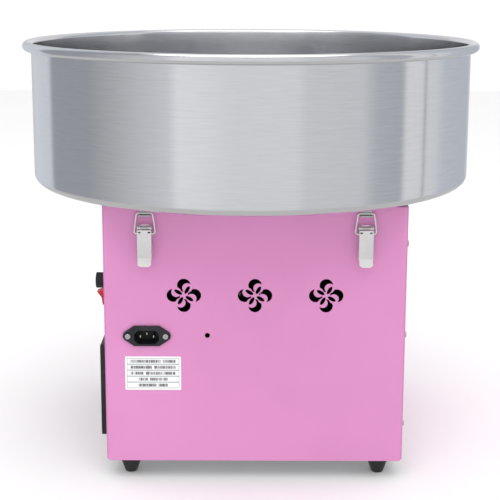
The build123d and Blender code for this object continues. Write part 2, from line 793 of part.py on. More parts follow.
runner_gap = 0.8
runner_low = base_z + deck_sheet
runner_x = tray_width / 2 + runner_gap
runner_length = 262.0
runner_sheet = 1.5
for runner_name, side in (("drawer_runner_right", 1), ("drawer_runner_left", -1)):
    with BuildPart() as runner:
        with BuildSketch(Plane.XZ.offset(-(front_y + 6.0))):
            with Locations((runner_x, runner_low)):
                Rectangle(14.0, runner_sheet, align=(Align.MIN, Align.MIN))
                Rectangle(runner_sheet, 60.0, align=(Align.MIN, Align.MIN))
            with Locations((runner_x, tray_low - runner_gap)):
                Rectangle(12.0, runner_sheet, align=(Align.MAX, Align.MAX))
        extrude(amount=-runner_length)
        if side < 0:
            mirror(about=Plane.YZ, mode=Mode.REPLACE)
    runner.part.label = runner_name
    export_step(runner.part, f"parts/{runner_name}.step")

# ---- Motor and its mounting ----------------------------------------------------------------------
with BuildPart() as motor_plate:
    with BuildSketch(Plane.XY.offset(motor_plate_z)):
        RectangleRounded(motor_plate_size, motor_plate_size, 8.0)
        Circle(shaft_radius + 2.0, mode=Mode.SUBTRACT)
    extrude(amount=motor_plate_sheet)
    with BuildSketch(Plane.XY.offset(motor_plate_z)):
        Circle(bearing_radius + 5.0)
        Circle(bearing_radius, mode=Mode.SUBTRACT)
    extrude(amount=-bearing_length)
motor_plate.part.label = "motor_plate"
export_step(motor_plate.part, "parts/motor_plate.step")

with BuildPart() as isolators:
    with BuildSketch(Plane.XY.offset(motor_plate_z + motor_plate_sheet)):
        with GridLocations(isolator_spacing, isolator_spacing, 2, 2):
            Circle(10.0)
    extrude(amount=panel_top - motor_plate_z - motor_plate_sheet)
isolators.part.label = "isolators"
export_step(isolators.part, "parts/isolators.step")

with BuildPart() as motor_can:
    with BuildSketch(Plane.XY.offset(motor_low)):
        Circle(motor_radius)
    extrude(amount=motor_plate_z - motor_low)
    with BuildSketch(Plane.XY.offset(motor_low + 3.0)):
        Circle(motor_radius - motor_wall)
    extrude(amount=motor_plate_z - motor_low, mode=Mode.SUBTRACT)
    with BuildSketch(Plane.XY.offset(motor_low)):
        Circle(bearing_radius + 5.0)
    extrude(amount=bearing_length)
    with BuildSketch(Plane.XY.offset(motor_low)):
        Circle(bearing_radius)
    extrude(amount=bearing_length, mode=Mode.SUBTRACT)
motor_can.part.label = "motor_can"
export_step(motor_can.part, "parts/motor_can.step")

with BuildPart() as stator:
    with BuildSketch(Plane.XY.offset(stack_low)):
        Circle(motor_radius - motor_wall)
        Circle(rotor_radius + 2 * fit_gap, mode=Mode.SUBTRACT)
        with PolarLocations(rotor_radius + 10.0, 12):
            Circle(3.2, mode=Mode.SUBTRACT)
    extrude(amount=stack_height)
stator.part.label = "stator"
export_step(stator.part, "parts/stator.step")

with BuildPart() as motor_bearings:
    for z in (motor_low, motor_plate_z - bearing_length):
        with BuildSketch(Plane.XY.offset(z)):
            Circle(bearing_radius)
            Circle(shaft_radius + running, mode=Mode.SUBTRACT)
        extrude(amount=bearing_length)
motor_bearings.part.label = "motor_bearings"
export_step(motor_bearings.part, "parts/motor_bearings.step")

with BuildPart() as rotor:
    with BuildSketch(Plane.XY.offset(stack_low)):
        Circle(rotor_radius)
        Circle(shaft_radius, mode=Mode.SUBTRACT)
    extrude(amount=stack_height)
rotor.part.label = "rotor"
export_step(rotor.part, "parts/rotor.step")

with BuildPart() as spinner_shaft:
    with BuildSketch(Plane.XY.offset(shaft_low)):
        Circle(shaft_radius)
    extrude(amount=shaft_top - shaft_low)
    chamfer(spinner_shaft.faces().filter_by(GeomType.PLANE).edges(), 0.8)
spinner_shaft.part.label = "spinner_shaft"
export_step(spinner_shaft.part, "parts/spinner_shaft.step")

sleeve_low = shaft_low + 2.0
sleeve_height = 30.0
with BuildPart() as ring_sleeve:
    with BuildSketch(Plane.XY.offset(sleeve_low)):
        Circle(sleeve_radius)
        Circle(shaft_radius, mode=Mode.SUBTRACT)
    extrude(amount=sleeve_height)
ring_sleeve.part.label = "ring_sleeve"
export_step(ring_sleeve.part, "parts/ring_sleeve.step")

with BuildPart() as slip_rings:
    for z in ring_zs:
        with BuildSketch(Plane.XY.offset(z)):
            Circle(ring_radius)
            Circle(sleeve_radius, mode=Mode.SUBTRACT)
        extrude(amount=ring_height)
slip_rings.part.label = "slip_rings"
export_step(slip_rings.part, "parts/slip_rings.step")

brush_width = 6.0
brush_height = 5.0
brush_x = ring_radius + 2 * running
pocket_end_x = 37.0
with BuildPart() as brush_holder:
    with BuildSketch(Plane.XY.offset(sleeve_low)):
        with Locations((20.0, 0)):
            Rectangle(20.0, 18.0, align=(Align.MIN, Align.CENTER))
    extrude(amount=motor_low - sleeve_low)
    with BuildSketch(Plane.YZ.offset(19.0)):
        with Locations(*[(0, z + ring_height / 2) for z in ring_zs]):
            Rectangle(brush_width, brush_height)
    extrude(amount=pocket_end_x - 19.0, mode=Mode.SUBTRACT)
brush_holder.part.label = "brush_holder"
export_step(brush_holder.part, "parts/brush_holder.step")

with BuildPart() as carbon_brushes:
    with BuildSketch(Plane.YZ.offset(brush_x)):
        with Locations(*[(0, z + ring_height / 2) for z in ring_zs]):
            Rectangle(brush_width, brush_height)
    extrude(amount=brush_length)
carbon_brushes.part.label = "carbon_brushes"
export_step(carbon_brushes.part, "parts/carbon_brushes.step")

# ---- Spinner head --------------------------------------------------------------------------------
hub_radius = 14.0
hub_low = 336.0
cup_wall = 4.0
with BuildPart() as head_cup:
    with BuildSketch(Plane.XY.offset(head_z)):
        Circle(head_radius)
    extrude(amount=cup_rim_z - head_z)
    fillet(head_cup.faces().sort_by(Axis.Z)[0].edges(), 3.0)
    with BuildSketch(Plane.XY.offset(head_z + cup_floor)):
        Circle(head_radius - cup_wall)
    extrude(amount=cup_rim_z - head_z, mode=Mode.SUBTRACT)
    with BuildSketch(Plane.XY.offset(hub_low)):
        Circle(hub_radius)
    extrude(amount=head_z - hub_low + cup_floor / 2)
    with BuildSketch(Plane.XY.offset(hub_low)):
        Circle(shaft_radius)
    extrude(amount=cup_rim_z - hub_low, mode=Mode.SUBTRACT)
head_cup.part.label = "head_cup"
export_step(head_cup.part, "parts/head_cup.step")

with BuildPart() as shaft_nut:
    with BuildSketch(Plane.XY.offset(head_z + cup_floor)):
        RegularPolygon(10.0, 6)
        Circle(shaft_radius, mode=Mode.SUBTRACT)
    extrude(amount=8.0)
shaft_nut.part.label = "shaft_nut"
export_step(shaft_nut.part, "parts/shaft_nut.step")

heater_orbit = 56.0
heater_radius = 3.5
heater_z = 363.0
with BuildPart() as heater_ring:
    with Locations((0, 0, heater_z)):
        Torus(heater_orbit, heater_radius)
    with BuildSketch(Plane.XY.offset(head_z + cup_floor)):
        with PolarLocations(heater_orbit, 2):
            Circle(1.8)
    extrude(amount=heater_z - head_z - cup_floor)
heater_ring.part.label = "heater_ring"
export_step(heater_ring.part, "parts/heater_ring.step")

band_sheet = 1.0
slot_count = 48
with BuildPart() as heater_band:
    with BuildSketch(Plane.XY.offset(cup_rim_z)):
        Circle(head_radius - 1.0)
        Circle(head_radius - 1.0 - band_sheet, mode=Mode.SUBTRACT)
    extrude(amount=band_height)
    with BuildSketch(Plane.XY.offset(cup_rim_z + 3.0)):
        with PolarLocations(head_radius - 1.0, slot_count):
            Rectangle(4.0, 3.0)
    extrude(amount=band_height - 6.0, mode=Mode.SUBTRACT)
heater_band.part.label = "heater_band"
export_step(heater_band.part, "parts/heater_band.step")

cap_z = cup_rim_z + band_height
feed_low = 366.0
with BuildPart() as head_cap:
    with BuildSketch(Plane.XY.offset(cap_z)):
        Circle(head_radius)
    extrude(amount=cap_sheet)
    fillet(head_cap.faces().sort_by(Axis.Z)[-1].edges(), 1.2)
    with BuildSketch(Plane.XY.offset(feed_low)):
        Circle(feed_radius + 1.5)
    extrude(amount=cap_z - feed_low)
    with BuildSketch(Plane.XY.offset(feed_low)):
        Circle(feed_radius)
    extrude(amount=cap_z + cap_sheet - feed_low, mode=Mode.SUBTRACT)
    with BuildSketch(Plane.XY.offset(cap_z)):
        with PolarLocations(head_bolt_circle, 4, start_angle=45):
            Circle(head_bolt_radius)
    extrude(amount=cap_sheet, mode=Mode.SUBTRACT)
head_cap.part.label = "head_cap"
export_step(head_cap.part, "parts/head_cap.step")

bolt_offset = head_bolt_circle / 2**0.5
bolt_places = [(x * bolt_offset, y * bolt_offset) for x in (-1, 1) for y in (-1, 1)]
bolt_length = cap_z + cap_sheet - head_z - cup_floor
head_bolts = screw(Plane.XY.offset(cap_z + cap_sheet), bolt_places, 4.5, 3.0, head_bolt_radius, bolt_length)
head_bolts.part.label = "head_bolts"
export_step(head_bolts.part, "parts/head_bolts.step")

# ---- Electrics -----------------------------------------------------------------------------------
board_y = -10.0
board_z = 262.0
board_size = (90.0, 46.0)
board_stand = 6.0
inner_left = side_x - sheet
with BuildPart() as control_board:
    with BuildSketch(Plane.YZ.offset(-inner_left + board_stand)):
        with Locations((board_y, board_z)):
            Rectangle(*board_size)
    extrude(amount=1.6)
    with BuildSketch(Plane.YZ.offset(-inner_left)):
        with Locations((board_y, board_z)):
            with GridLocations(board_size[0] - 10.0, board_size[1] - 10.0, 2, 2):
                Circle(3.0)
    extrude(amount=board_stand)
    with BuildSketch(Plane.YZ.offset(-inner_left + board_stand + 1.6)):
        with Locations((board_y - 22.0, board_z)):
            Rectangle(30.0, 24.0)
        with Locations((board_y + 24.0, board_z)):
            Circle(9.0)
    extrude(amount=18.0)
control_board.part.label = "control_board"
export_step(control_board.part, "parts/control_board.step")

lead_radius = 1.6
lead_routes = [
    [
        (switch_xs["power"], front_y + switch_depth, switch_z - 8.0),
        (switch_xs["power"], front_y + switch_depth + 16.0, switch_z - 8.0),
        (124.0, -118.0, 176.0),
        (118.0, -112.0, inlet_z + 2.0),
        (126.0, -110.0, inlet_z + 2.0),
    ],
    [
        (switch_xs["heat"], front_y + switch_depth, switch_z),
        (switch_xs["heat"], front_y + switch_depth + 20.0, switch_z),
        (10.0, -100.0, 186.0),
        (-30.0, -86.0, 180.0),
        (-80.0, -60.0, 205.0),
        (-96.0, -40.0, 236.0),
        (-112.0, board_y - 22.0, board_z),
        (-inner_left + board_stand + 19.6, board_y - 22.0, board_z),
    ],
]
with BuildPart() as wiring:
    for route in lead_routes:
        with BuildLine() as lead_path:
            FilletPolyline(*route, radius=4.0)
        with BuildSketch(Plane(origin=route[0], z_dir=(0, 1, 0))):
            Circle(lead_radius)
        sweep(path=lead_path.wires()[0])
wiring.part.label = "wiring"
export_step(wiring.part, "parts/wiring.step")
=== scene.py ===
import json
import math

import bpy
import numpy as np
from mathutils import Euler, Matrix, Vector


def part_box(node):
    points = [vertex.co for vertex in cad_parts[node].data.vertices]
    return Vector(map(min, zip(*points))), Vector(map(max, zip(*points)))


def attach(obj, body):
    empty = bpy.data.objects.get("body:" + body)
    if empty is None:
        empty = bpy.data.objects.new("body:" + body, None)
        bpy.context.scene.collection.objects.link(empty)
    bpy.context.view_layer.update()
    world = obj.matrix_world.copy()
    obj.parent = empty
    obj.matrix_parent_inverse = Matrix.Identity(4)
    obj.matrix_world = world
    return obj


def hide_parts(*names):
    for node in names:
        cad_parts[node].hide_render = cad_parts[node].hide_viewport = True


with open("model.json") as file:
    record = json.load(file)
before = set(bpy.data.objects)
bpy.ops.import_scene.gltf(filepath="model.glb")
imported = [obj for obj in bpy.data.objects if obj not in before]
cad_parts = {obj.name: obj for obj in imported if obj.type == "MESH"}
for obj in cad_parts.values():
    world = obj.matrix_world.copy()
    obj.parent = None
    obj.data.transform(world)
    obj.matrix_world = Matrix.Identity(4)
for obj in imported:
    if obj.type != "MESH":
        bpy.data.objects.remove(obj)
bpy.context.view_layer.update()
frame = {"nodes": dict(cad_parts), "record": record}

nodes = frame["nodes"]
scene = bpy.context.scene

# ---- Sizes, read from the frame or in metres ------------------------------------------------------
bowl_low, bowl_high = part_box("bowl_wall")
case_low, case_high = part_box("top_deck")
label_low, label_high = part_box("rating_label")
feet_low, feet_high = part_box("feet")
pins_low, pins_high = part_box("inlet_pins")
case_centre = (case_low + case_high) / 2
case_middle = case_centre - Vector((0, 0, 0.14))

sheet = 0.001                                   # bowl sheet
bead = 0.0052                                   # outer radius of the rolled rim
bowl_corner = 0.008
bowl_outer = bowl_high.x - 2 * bead + sheet     # outside of the bowl's wall
bead_z = bowl_high.z - bead
foot_radius = 0.0135                            # at the top of a foot
foot_reach = (feet_high.x - feet_low.x) / 2 - foot_radius


# ---- Meshes ---------------------------------------------------------------------------------------
def put_mesh(name, points, faces, smooth=True):
    """A mesh object at the origin from an (n, 3) array of points and an (m, 4) array of corners."""
    mesh = bpy.data.meshes.new(name)
    mesh.vertices.add(len(points))
    mesh.vertices.foreach_set("co", np.ascontiguousarray(points, np.float32).ravel())
    mesh.loops.add(faces.size)
    mesh.loops.foreach_set("vertex_index", np.ascontiguousarray(faces, np.int32).ravel())
    mesh.polygons.add(len(faces))
    mesh.polygons.foreach_set("loop_start", np.arange(0, faces.size, faces.shape[1], dtype=np.int32))
    mesh.update(calc_edges=True)
    mesh.polygons.foreach_set("use_smooth", np.full(len(faces), smooth))
    mesh.validate()
    obj = bpy.data.objects.new(name, mesh)
    scene.collection.objects.link(obj)
    return obj


def grid_faces(rows, columns, row_loop, column_loop):
    """Quads between neighbours of a rows x columns grid, joined end to end where a direction loops."""
    r = np.arange(rows if row_loop else rows - 1)[:, None]
    c = np.arange(columns if column_loop else columns - 1)[None, :]
    r2 = (r + 1) % rows
    c2 = (c + 1) % columns
    quads = np.stack([r * columns + c, r2 * columns + c, r2 * columns + c2, r * columns + c2], axis=-1)
    return quads.reshape(-1, 4)


def arc(centre, radius, start, stop, count):
    """Points of a circle arc: centre plus radius times (cos a, sin a), a in degrees from start to stop."""
    a = np.radians(np.linspace(start, stop, count))
    return np.column_stack([centre[0] + radius * np.cos(a), centre[1] + radius * np.sin(a)])


def lathe(name, outline, turns, centre=(0.0, 0.0)):
    """A closed outline of (radius, height), anticlockwise, turned about an upright line through centre.

    Point (i, j) lies at centre + r_i (cos t_j, sin t_j) and at height z_i, t_j = 2 pi j / turns.
    """
    t = np.arange(turns) * 2 * np.pi / turns
    r, z = outline[:, :1], outline[:, 1:]
    points = np.stack([
        centre[0] + r * np.cos(t),
        centre[1] + r * np.sin(t),
        z + 0 * t,
    ], axis=-1).reshape(-1, 3)
    return put_mesh(name, points, grid_faces(len(outline), turns, True, True)[:, ::-1])


def straight(start, stop, count):
    """Evenly spaced points from start up to, but not including, stop."""
    return np.linspace(start, stop, count, endpoint=False)


# ---- Material helpers -----------------------------------------------------------------------------
class Surface:
    """One node material. Its calls add a node each and give back the socket that carries the result."""

    def __init__(self, name, colour, roughness, metallic=0.0, **sockets):
        self.material = bpy.data.materials.new(name)
        self.material.use_nodes = True
        self.tree = self.material.node_tree
        self.shader = self.tree.nodes["Principled BSDF"]
        self.set("Base Color", (*colour, 1.0))
        self.set("Roughness", roughness)
        self.set("Metallic", metallic)
        for socket, value in sockets.items():
            self.set(socket.replace("_", " "), value)
        self.place = self.add("ShaderNodeTexCoord").outputs["Object"]
        self.normal = self.place.node.outputs["Normal"]

    def set(self, socket, value):
        self.shader.inputs[socket].default_value = value

    def add(self, kind, *wires, **settings):
        node = self.tree.nodes.new(kind)
        for key, value in settings.items():
            setattr(node, key, value)
        for index, value in enumerate(wires):
            if isinstance(value, bpy.types.NodeSocket):
                self.tree.links.new(value, node.inputs[index])
            elif value is not None:
                node.inputs[index].default_value = value
        return node

    def maths(self, operation, *values, clamp=False):
        return self.add("ShaderNodeMath", *values, operation=operation, use_clamp=clamp).outputs[0]

    def vector(self, operation, *values):
        node = self.add("ShaderNodeVectorMath", *values, operation=operation)
        return node.outputs["Value"] if operation in ("DOT_PRODUCT", "LENGTH") else node.outputs[0]

    def axes(self, vector):
        return self.add("ShaderNodeSeparateXYZ", vector).outputs[:3]

    def joined(self, *values):
        return self.add("ShaderNodeCombineXYZ", *values).outputs[0]

    def noise(self, vector, scale, detail=3.0, roughness=0.5):
        node = self.add("ShaderNodeTexNoise")
        self.tree.links.new(vector, node.inputs["Vector"])
        node.inputs["Scale"].default_value = scale
        node.inputs["Detail"].default_value = detail
        node.inputs["Roughness"].default_value = roughness
        return node.outputs["Fac"]

    def remap(self, value, low, high, new_low, new_high):
        return self.add("ShaderNodeMapRange", value, low, high, new_low, new_high).outputs[0]

    def blend(self, factor, first, second):
        node = self.add("ShaderNodeMix", data_type="RGBA")
        sockets = (node.inputs["Factor"], node.inputs[6], node.inputs[7])
        for socket, value in zip(sockets, (factor, first, second)):
            if isinstance(value, bpy.types.NodeSocket):
                self.tree.links.new(value, socket)
            else:
                socket.default_value = value if isinstance(value, float) else (*value, 1.0)
        return node.outputs[2]

    def feed(self, socket, value):
        self.tree.links.new(value, self.shader.inputs[socket])

    def bump(self, height, strength, distance):
        node = self.add("ShaderNodeBump")
        node.inputs["Strength"].default_value = strength
        node.inputs["Distance"].default_value = distance
        self.tree.links.new(height, node.inputs["Height"])
        self.feed("Normal", node.outputs[0])


def brushed_round(name, colour, roughness, streak_depth):
    """Steel brushed round the spindle: streaks are long round the bowl and under a millimetre across."""
    s = Surface(name, colour, roughness, 1.0, Anisotropic=0.85, Anisotropic_Rotation=0.25)
    x, y, z = s.axes(s.place)
    radius = s.maths("MAXIMUM", s.vector("LENGTH", s.joined(x, y, 0.0)), 0.001)
    across = s.maths("ADD", radius, z)
    round_x = s.maths("DIVIDE", x, radius)
    round_y = s.maths("DIVIDE", y, radius)
    steps_round, fine_per_metre, broad_per_metre, fine_share = 9.0, 1300.0, 420.0, 0.8
    long_x = s.maths("MULTIPLY", round_x, steps_round)
    long_y = s.maths("MULTIPLY", round_y, steps_round)
    fine_across = s.maths("MULTIPLY", across, fine_per_metre)
    broad_across = s.maths("MULTIPLY", across, broad_per_metre)
    fine = s.noise(s.joined(long_x, long_y, fine_across), 1.0, 2.0, 0.6)
    broad = s.noise(s.joined(long_x, long_y, broad_across), 1.0, 1.0, 0.5)
    weighted_fine = s.maths("MULTIPLY", fine, fine_share)
    streaks = s.maths("ADD", weighted_fine, s.maths("MULTIPLY", broad, 1 - fine_share))
    dark = tuple(c * (1 - streak_depth) for c in colour)
    light = tuple(min(1.0, c * (1 + streak_depth * 0.6)) for c in colour)
    s.feed("Base Color", s.blend(s.remap(streaks, 0.35, 0.65, 0.0, 1.0), dark, light))
    s.feed("Roughness", s.remap(fine, 0.3, 0.7, roughness * 0.92, roughness * 1.1))
    s.feed("Tangent", s.vector("NORMALIZE", s.joined(s.maths("MULTIPLY", y, -1.0), x, 0.0)))
    s.bump(fine, 0.02, 0.00002)
    return s.material


def powder_coat():
    """Pink powder coat on the outer faces, with a fine orange peel; every other face gets near-black
    painted shade.
    """
    pink = (0.695, 0.275, 0.540)
    s = Surface("pink_powder_coat", pink, 0.42, 0.0, Specular_IOR_Level=0.22)
    from_middle = s.vector("SUBTRACT", s.place, tuple(case_middle))
    out = s.vector("DOT_PRODUCT", s.normal, from_middle)
    least_outward = 0.12                        # metres from the case's middle, along the normal
    outer = s.maths("GREATER_THAN", out, least_outward)
    clouds = s.noise(s.place, 9.0, 2.0)
    grain = s.noise(s.place, 900.0, 2.0)
    deep = tuple(c * 0.955 for c in pink)
    fresh = tuple(min(1.0, c * 1.03) for c in pink)
    paint = s.blend(s.remap(clouds, 0.3, 0.7, 0.0, 1.0), deep, fresh)
    # Painted shade: faces that do not face out from the case's middle, such as the insides and the walls
    # of the vents, are painted near-black.
    s.feed("Base Color", s.blend(outer, (0.03, 0.028, 0.03), paint))
    s.feed("Roughness", s.remap(grain, 0.3, 0.7, 0.36, 0.50))
    s.bump(s.noise(s.place, 420.0, 3.0), 0.10, 0.0002)
    return s.material


def plated(name, colour, roughness, scratch):
    """Plated or turned metal with faint handling marks."""
    s = Surface(name, colour, roughness, 1.0)
    marks = s.noise(s.place, 260.0, 5.0, 0.7)
    patches = s.noise(s.place, 38.0, 2.0)
    dull = tuple(c * (1 - scratch) for c in colour)
    s.feed("Base Color", s.blend(s.remap(patches, 0.35, 0.65, 0.0, 1.0), dull, colour))
    s.feed("Roughness", s.remap(marks, 0.3, 0.75, roughness * 0.75, roughness * 1.5))
    s.bump(marks, 0.05, 0.0001)
    return s.material


def moulded(name, colour, roughness, grain_scale, grain_strength):
    """Moulded rubber or plastic with a fine eroded grain and pale dust in random patches."""
    s = Surface(name, colour, roughness, 0.0, Specular_IOR_Level=0.4)
    grain = s.noise(s.place, grain_scale, 3.0)
    dust = s.noise(s.place, 55.0, 3.0)
    pale = tuple(min(1.0, c * 1.35 + 0.006) for c in colour)
    s.feed("Base Color", s.blend(s.remap(dust, 0.45, 0.75, 0.0, 1.0), colour, pale))
    s.feed("Roughness", s.remap(grain, 0.3, 0.7, roughness * 0.85, min(1.0, roughness * 1.2)))
    s.bump(grain, grain_strength, 0.0002)
    return s.material


def printed_label():
    """White film with a ruled table of five rows and rows of unreadable generic marks."""
    s = Surface("label_film", (0.86, 0.87, 0.87), 0.38, 0.0, Coat_Weight=0.2)
    size = label_high - label_low
    _, y, z = s.axes(s.place)
    across = s.maths("DIVIDE", s.maths("SUBTRACT", y, label_low.y), size.y)
    up = s.maths("DIVIDE", s.maths("SUBTRACT", z, label_low.z), size.z)
    margin_x, margin_z, rows = 0.035, 0.055, 5.0
    rule_start, side_rule_start = 0.43, 0.459
    divider_at, divider_half_width = 0.41, 0.004
    band_half_height = 0.24
    text_reach, last_rows_shorter_by = 0.40, 0.14
    strokes_across, row_step, words_across = 95.0, 7.3, 13.0

    table_up = s.remap(up, margin_z, 1 - margin_z, 0.0, rows)
    row = s.maths("FLOOR", table_up)
    within = s.maths("FRACT", table_up)
    from_row_middle = s.maths("ABSOLUTE", s.maths("SUBTRACT", within, 0.5))
    from_label_middle = s.maths("ABSOLUTE", s.maths("SUBTRACT", across, 0.5))

    inside_x = s.maths("COMPARE", across, 0.5, 0.5 - margin_x)
    inside_z = s.maths("COMPARE", up, 0.5, 0.5 - margin_z)
    inside = s.maths("MULTIPLY", inside_x, inside_z)
    rule = s.maths("GREATER_THAN", from_row_middle, rule_start)
    side_rule = s.maths("GREATER_THAN", from_label_middle, side_rule_start)
    divider = s.maths("COMPARE", across, divider_at, divider_half_width)
    divided_rows = s.maths("COMPARE", row, 2.5, 0.6)
    frame_rules = s.maths("MAXIMUM", rule, side_rule)
    lines = s.maths("MAXIMUM", frame_rules, s.maths("MULTIPLY", divider, divided_rows))
    lines = s.maths("MULTIPLY", lines, inside)

    stroke_across = s.maths("MULTIPLY", across, strokes_across)
    stroke_cell = s.joined(stroke_across, s.maths("MULTIPLY", row, row_step), 0.0)
    strokes = s.maths("GREATER_THAN", s.noise(stroke_cell, 1.0, 2.0, 0.8), 0.45)
    word_cell = s.joined(s.maths("MULTIPLY", across, words_across), row, 4.0)
    words = s.maths("GREATER_THAN", s.noise(word_cell, 1.0, 0.0), 0.36)
    band = s.maths("COMPARE", within, 0.5, band_half_height)
    low_rows = s.maths("COMPARE", row, 0.5, 0.6)
    reach = s.maths("SUBTRACT", text_reach, s.maths("MULTIPLY", low_rows, last_rows_shorter_by))
    text_zone = s.maths("LESS_THAN", from_label_middle, reach)
    marks = s.maths("MULTIPLY", s.maths("MULTIPLY", strokes, words), s.maths("MULTIPLY", band, text_zone))
    ruled = s.blend(s.maths("MULTIPLY", lines, 0.85), (0.88, 0.89, 0.89), (0.20, 0.28, 0.28))
    s.feed("Base Color", s.blend(s.maths("MULTIPLY", marks, 0.92), ruled, (0.09, 0.09, 0.10)))
    s.bump(marks, 0.05, 0.00005)
    return s.material


steel = brushed_round("bowl_steel", (0.76, 0.763, 0.772), 0.15, 0.04)
pink_coat = powder_coat()
label_film = printed_label()
nickel = plated("bright_nickel", (0.90, 0.89, 0.87), 0.20, 0.05)
zinc = plated("zinc_sheet", (0.55, 0.56, 0.58), 0.38, 0.18)
turned_steel = plated("turned_steel", (0.68, 0.68, 0.68), 0.28, 0.10)
pin_brass = plated("plated_brass", (0.80, 0.74, 0.60), 0.25, 0.10)
aluminium = brushed_round("spun_aluminium", (0.74, 0.75, 0.76), 0.30, 0.10)
heated_steel = plated("heat_tinted_steel", (0.50, 0.46, 0.40), 0.34, 0.25)
rubber = moulded("black_rubber", (0.012, 0.012, 0.013), 0.55, 600.0, 0.20)
black_plastic = moulded("black_plastic", (0.013, 0.014, 0.018), 0.38, 1500.0, 0.12)
red_plastic = moulded("red_rocker", (0.45, 0.018, 0.020), 0.20, 300.0, 0.03)
enamel = moulded("motor_enamel", (0.03, 0.032, 0.036), 0.5, 500.0, 0.15)
board_green = moulded("board_coating", (0.03, 0.14, 0.07), 0.4, 300.0, 0.05)
graphite = moulded("graphite", (0.03, 0.03, 0.032), 0.6, 800.0, 0.2)

slot_finish = {
    "pink_paint": pink_coat, "bowl_steel": steel, "zinc_steel": zinc, "nickel_plate": nickel,
    "screw_steel": turned_steel, "black_rubber": rubber, "black_plastic": black_plastic,
    "red_plastic": red_plastic, "label_white": label_film, "brass": pin_brass,
    "spun_aluminium": aluminium, "stainless_band": heated_steel, "motor_steel": enamel,
    "graphite": graphite, "circuit_board": board_green, "wire_insulation": black_plastic,
}
for part in frame["record"]["subparts"]:
    obj = nodes[part["node"]]
    obj.data.materials.clear()
    obj.data.materials.append(slot_finish[part["material_slot"]])


# ---- Bowl -----------------------------------------------------------------------------------------
def bowl_wall():
    """Rounded foot, upright wall and a rim rolled outwards, as one outline of constant thickness.

    The wall's inside runs up the foot's inner arc and over the outside of the rim's curl. The curl
    ends short of the wall, and the outline comes back along its inside and down the wall's outside.
    """
    inner = bowl_outer - sheet
    foot = bowl_outer - bowl_corner
    foot_centre = (foot, bowl_low.z + bowl_corner)
    rim_centre = (inner + bead, bead_z)
    outline = np.vstack([
        arc(foot_centre, bowl_corner, -90, 0, 14),
        straight((bowl_outer, bowl_low.z + bowl_corner), (bowl_outer, bead_z), 10)[1:],
        arc(rim_centre, bead - sheet, 180, -150, 44),
        arc(rim_centre, bead, -150, 180, 56),
        straight((inner, bead_z), (inner, bowl_low.z + bowl_corner), 10)[1:],
        arc(foot_centre, bowl_corner - sheet, 0, -90, 14),
    ])
    return lathe("bowl_wall_spun", outline, 320)


wall = bowl_wall()
wall.data.materials.append(steel)
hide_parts("bowl_wall")
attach(wall, "machine")


# ---- Feet -----------------------------------------------------------------------------------------
def foot(name, centre):
    """Tapered rubber foot with a rounded sole, a screw recess and a flat top."""
    height = feet_high.z
    sole_radius = 0.007
    recess_radius = 0.0048
    recess_top = 0.007
    recess_bottom = 0.0006
    round_edge = 0.0016
    rim_height, rim_slope, top_inset = 0.003, 0.0006, 0.0002
    outline = np.vstack([
        arc((sole_radius - round_edge, round_edge), round_edge, -90, -15, 8),
        straight((foot_radius - rim_slope, height - rim_height), (foot_radius, height), 3),
        [(foot_radius - top_inset, height)],
        [(recess_radius, height)],
        straight((recess_radius, recess_top), (recess_radius, recess_bottom), 3),
    ])
    return lathe(name, outline, 48, centre)


foot_places = {}
for along, x in (("right", foot_reach), ("left", -foot_reach)):
    for end, y in (("front", case_centre.y - foot_reach), ("back", case_centre.y + foot_reach)):
        foot_places[f"foot_{along}_{end}"] = (x, y)
for number, (name, centre) in enumerate(foot_places.items()):
    rubber_foot = foot(name, centre)
    rubber_foot.data.materials.append(rubber)
    if number == 0:
        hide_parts("feet")
    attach(rubber_foot, "machine")


# ---- Inlet pins -----------------------------------------------------------------------------------
def inlet_pin(name, middle, half_width, half_height, root, tip):
    """Flat blade along X. Cross-section: half sizes times the signed 2/7 powers of (cos a, sin a).

    Over the last two millimetres it narrows to half its width and height, and its end is closed.
    """
    columns = 40
    corner_power = 2 / 7
    tip_length = 0.002
    tip_scale = 0.5
    a = np.linspace(0, 2 * np.pi, columns, endpoint=False)[None, :]
    narrowing = np.linspace(0, np.pi / 2, 8)
    x = np.concatenate([[root], tip - tip_length * (1 - np.sin(narrowing)), [tip]])[:, None]
    scale = np.concatenate([[1.0], tip_scale + (1 - tip_scale) * np.cos(narrowing), [0.0]])[:, None]
    y = half_width * scale * np.sign(np.cos(a)) * np.abs(np.cos(a)) ** corner_power
    z = half_height * scale * np.sign(np.sin(a)) * np.abs(np.sin(a)) ** corner_power
    points = np.stack([x + 0 * y, middle[0] + y, middle[1] + z], axis=-1).reshape(-1, 3)
    pin = put_mesh(name, points, grid_faces(len(x), columns, False, True), smooth=False)
    pin.data.materials.append(pin_brass)
    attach(pin, "machine")
    return pin


pin_half_width, pin_half_height = 0.00085, 0.0018
cad_pin_half_width, cad_pin_half_height = 0.001, 0.002
pin_tip = pins_high.x - 0.001
outer_z = pins_low.z + cad_pin_half_height
pin_places = [
    ("inlet_pin_live", (pins_low.y + cad_pin_half_width, outer_z)),
    ("inlet_pin_earth", ((pins_low.y + pins_high.y) / 2, pins_high.z - cad_pin_half_height)),
    ("inlet_pin_neutral", (pins_high.y - cad_pin_half_width, outer_z)),
]
pins = [
    inlet_pin(name, middle, pin_half_width, pin_half_height, pins_low.x, pin_tip)
    for name, middle in pin_places
]
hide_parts("inlet_pins")


# ---- Stage, lights and camera ---------------------------------------------------------------------
def floor_plane(half):
    """A square sheet of pale paper, reaching half to each side."""
    points = np.array([(-half, -half, 0), (half, -half, 0), (half, half, 0), (-half, half, 0)], float)
    floor = put_mesh("floor", points, np.array([[0, 1, 2, 3]]), smooth=False)
    s = Surface("floor_paper", (0.90, 0.90, 0.90), 0.9)
    s.feed("Base Color", s.blend(s.noise(s.place, 3.0), (0.89, 0.89, 0.89), (0.91, 0.91, 0.91)))
    floor.data.materials.append(s.material)


